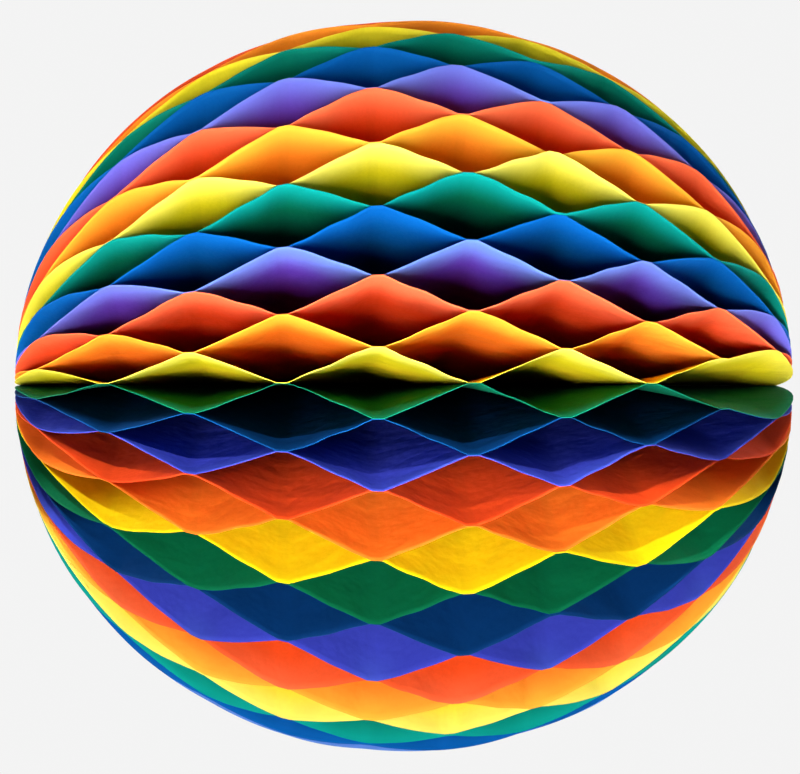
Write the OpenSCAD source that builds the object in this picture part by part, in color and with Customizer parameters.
// Honeycomb paper ball: a fan of half-oval paper sheets bound along one straight spine.
// Neighbouring sheets are stuck to each other in narrow strips that run out from the spine.
// The strips of one gap lie halfway between those of the next, so that the opened fan
// stands in rows of diamond-shaped cells. Two cover cards meet at the back and hold it open.
// The spine lies along X, the front of the ball faces -Y, and +Z is up.
// The origin is the middle of the spine, which is the middle of the ball.

/* [Ball] */
// Radius of the ball round its spine
ball_r = 100; // [70:1:160]
// Half the length of the ball along its spine
spine_half = 106.5; // [75:0.5:170]
// Share by which the cells stand wider open above and below, and narrower in front and behind
swell_share = 0.18; // [0:0.01:0.3]

/* [Sheets] */
// Number of times that the row of six colours is repeated round the spine
colour_round_count = 11; // [8:1:14]
// Thickness of one sheet
sheet_t = 0.1; // [0.05:0.01:0.2]

/* [Glue strips] */
// Distance from one glue strip to the next along the spine
strip_pitch = 20.6; // [14:0.2:30]
// Width of a glue strip at the rim
strip_w = 2.4; // [1:0.2:8]
// Place along the spine of the strip nearest to the middle
strip_shift = 7.7; // [-10:0.1:10]
// Whether the front glue of the last strip is open, so that the cell there gapes at the right end
front_end_open = true;

/* [Cover cards] */
// Thickness of a cover card at its rim, from where it is pinched to nothing at the spine
cover_t = 0.6; // [0.3:0.05:1.5]
// How far a cover card's rim stands back from the rim of the sheets
cover_inset = 1; // [0:0.5:6]

/* [Binding thread] */
// Diameter of the thread along the spine
thread_d = 2.4; // [0.8:0.2:6]
// Room between the thread and the inner edges of the sheets
thread_gap = 0.3; // [0.1:0.1:1]

/* [Hidden] */

// One row of colours, from the first cover card under the ball and up its front
colour_row = ["violet", "blue", "green", "yellow", "orange", "red"];
colours_in_row = len(colour_row);

// Steps of the rounded ends beyond the outermost strips, and of a cover card's rim
end_steps = 4;
cover_steps = 60;

// The fan: each cover card takes its own small angle at the back, and the sheets share the rest
sheet_count = colours_in_row * colour_round_count;
half_count = sheet_count / 2;
cover_angle = atan(cover_t / ball_r);
fan_share = 1 - cover_angle / 180;
mean_angle = 360 / sheet_count;
narrow_angle = fan_share * mean_angle * (1 - swell_share);

// The core: wide enough for the thread, and for the sheets to lie side by side round it
core_r = max(thread_d / 2 + thread_gap, sheet_t / sin(narrow_angle));
end_x = spine_half * sqrt(1 - pow(core_r / ball_r, 2));

// The strips that fit on the sheets, and the stretch of free paper between two of them
first_strip = ceil((strip_w - end_x - strip_shift) / strip_pitch);
last_strip = floor((end_x - strip_w - strip_shift) / strip_pitch);
strip_count = last_strip - first_strip + 1;
free_w = strip_pitch - strip_w;

function strip_x(i) = strip_shift + i * strip_pitch;

function rim_r(x) = ball_r * sqrt(1 - pow(x / spine_half, 2));

// Angle round the spine of glue plane m, counted from the front, where sheets m-1 and m meet
function plane_angle(m) = let(turn = m * mean_angle)
    fan_share * (turn - swell_share * sin(2 * turn) * 90 / PI);

// Angle at a place between two glue planes
function angle_at(place) = let(m = floor(place))
    plane_angle(m) * (m + 1 - place) + plane_angle(m + 1) * (place - m);

// How many planes sheet m stands above its lower glue plane on strip i: it keeps to its lower plane
// on every second strip and to its upper plane on the others. Where the front glue is open, the two
// front sheets go with their other neighbours instead
function strip_lift(i, m) =
    front_end_open && i == last_strip && m == 0 ? 2
    : front_end_open && i == last_strip && m == -1 ? -1
    : abs((i + m) % 2);

// The same at any place x: a sheet keeps its height across a strip and changes it between two strips
function lift_at(x, m) =
    let(i = round((x - strip_shift) / strip_pitch))
    let(beyond = max(0, abs(x - strip_x(i)) - strip_w / 2) / free_w)
    strip_lift(i, m) * (1 - beyond) + strip_lift(i + sign(x - strip_x(i)), m) * beyond;

// A point of sheet m at place x and radius r, on its lower face (side 0) or its upper (side 1)
function sheet_point(x, r, m, side) =
    let(lift = lift_at(x, m))
    let(angle = angle_at(m + lift))
    let(rise = (side - lift) * sheet_t)
    [x, rise * sin(angle) - r * cos(angle), r * sin(angle) + rise * cos(angle)];

// Places along one rounded end, from its tip at the core to the outermost strip
function end_places(strip_edge) =
    let(tip = asin(core_r / ball_r))
    let(root = acos(abs(strip_edge) / spine_half))
    [for (n = [0 : end_steps - 1]) spine_half * cos(tip + (root - tip) * n / end_steps)];

left_end = end_places(strip_x(first_strip) - strip_w / 2);
right_end = end_places(strip_x(last_strip) + strip_w / 2);
left_places = [for (x = left_end) -x];
right_places = [for (n = [end_steps - 1 : -1 : 0]) right_end[n]];
edge_places = [for (i = [first_strip : last_strip], side = [-1, 1]) strip_x(i) + side * strip_w / 2];
mid_places = [for (i = [first_strip : last_strip]) strip_x(i)];

// A strip has two places on the rim, at its edges, and one on the core, where it runs to a point
rim_places = concat(left_places, edge_places, right_places);
core_places = concat(left_places, mid_places, right_places);
rim_last = len(rim_places) - 1;
core_last = len(core_places) - 1;

// Place on the core that belongs to place j of the rim
function core_of(j) =
    j < end_steps ? j
    : j < end_steps + 2 * strip_count ? end_steps + floor((j - end_steps) / 2)
    : j - strip_count;

// Numbers of a sheet's points: the core first, then the rim, whose two tips are the core's
function core_point(c, side) = side * (core_last + 1) + c;
function rim_point(j, side) =
    j == 0 ? core_point(0, side)
    : j == rim_last ? core_point(core_last, side)
    : 2 * (core_last + 1) + side * (rim_last - 1) + j - 1;

// Triangles of one face of the sheet between places j and j+1 of the rim
function face_step(j, side) =
    let(a = core_of(j))
    let(b = core_of(j + 1))
    let(outer = [core_point(a, side), rim_point(j, side), rim_point(j + 1, side)])
    let(inner = [core_point(a, side), rim_point(j + 1, side), core_point(b, side)])
    concat(j == 0 ? [] : [outer], a == b || j + 1 == rim_last ? [] : [inner]);

// Two triangles that close an edge of the sheet between points a and b of its two faces
function edge_step(a_low, a_high, b_low, b_high) = [[a_low, a_high, b_high], [a_low, b_high, b_low]];

function reversed(face) = [face[2], face[1], face[0]];

low_faces = [for (j = [0 : rim_last - 1]) each face_step(j, 0)];
high_faces = [for (j = [0 : rim_last - 1]) each [for (face = face_step(j, 1)) reversed(face)]];
rim_faces = [for (j = [0 : rim_last - 1]) each edge_step(
    rim_point(j, 0), rim_point(j, 1), rim_point(j + 1, 0), rim_point(j + 1, 1))];
core_faces = [for (c = [0 : core_last - 1]) each edge_step(
    core_point(c + 1, 0), core_point(c + 1, 1), core_point(c, 0), core_point(c, 1))];
sheet_faces = concat(low_faces, high_faces, rim_faces, core_faces);

// One sheet, which stands between glue planes m and m+1
module sheet(m) {
    core = [for (side = [0, 1], x = core_places) sheet_point(x, core_r, m, side)];
    rim = [for (side = [0, 1], j = [1 : rim_last - 1])
        sheet_point(rim_places[j], rim_r(rim_places[j]), m, side)];
    polyhedron(points = concat(core, rim), faces = sheet_faces);
}

// All the sheets of one colour
module sheets_of(colour) {
    first = search([colour], colour_row)[0];
    for (k = [first : colours_in_row : sheet_count - 1]) sheet(k - half_count);
}

module violet_sheets() {
    color("#6a4bb8") sheets_of("violet");
}

module blue_sheets() {
    color("#0b4fa0") sheets_of("blue");
}

module green_sheets() {
    color("#0f8a52") sheets_of("green");
}

module yellow_sheets() {
    color("#f2d81c") sheets_of("yellow");
}

module orange_sheets() {
    color("#f08a2a") sheets_of("orange");
}

module red_sheets() {
    color("#e2502c") sheets_of("red");
}

// Outline of a cover card, with its straight edge along the core
module cover_outline() {
    card_r = ball_r - cover_inset;
    card_half = spine_half - cover_inset;
    tip = asin(core_r / card_r);
    polygon([for (n = [0 : cover_steps])
        let(angle = tip + (180 - 2 * tip) * n / cover_steps)
        [card_r * sin(angle), -card_half * cos(angle)]]);
}

// A cover card that stands on one side of the plane where the two cards meet, behind the spine
module cover(start_angle) {
    rotate([0, 90, 0]) rotate([0, 0, 90 + start_angle])
        rotate_extrude(angle = cover_angle) cover_outline();
}

module first_cover() {
    color("#e9e2d0") cover(-cover_angle);
}

module last_cover() {
    color("#e9e2d0") cover(0);
}

module binding_thread() {
    color("#f4f0e6") rotate([0, 90, 0]) cylinder(d = thread_d, h = 2 * end_x, center = true);
}

violet_sheets();
blue_sheets();
green_sheets();
yellow_sheets();
orange_sheets();
red_sheets();
first_cover();
last_cover();
binding_thread();
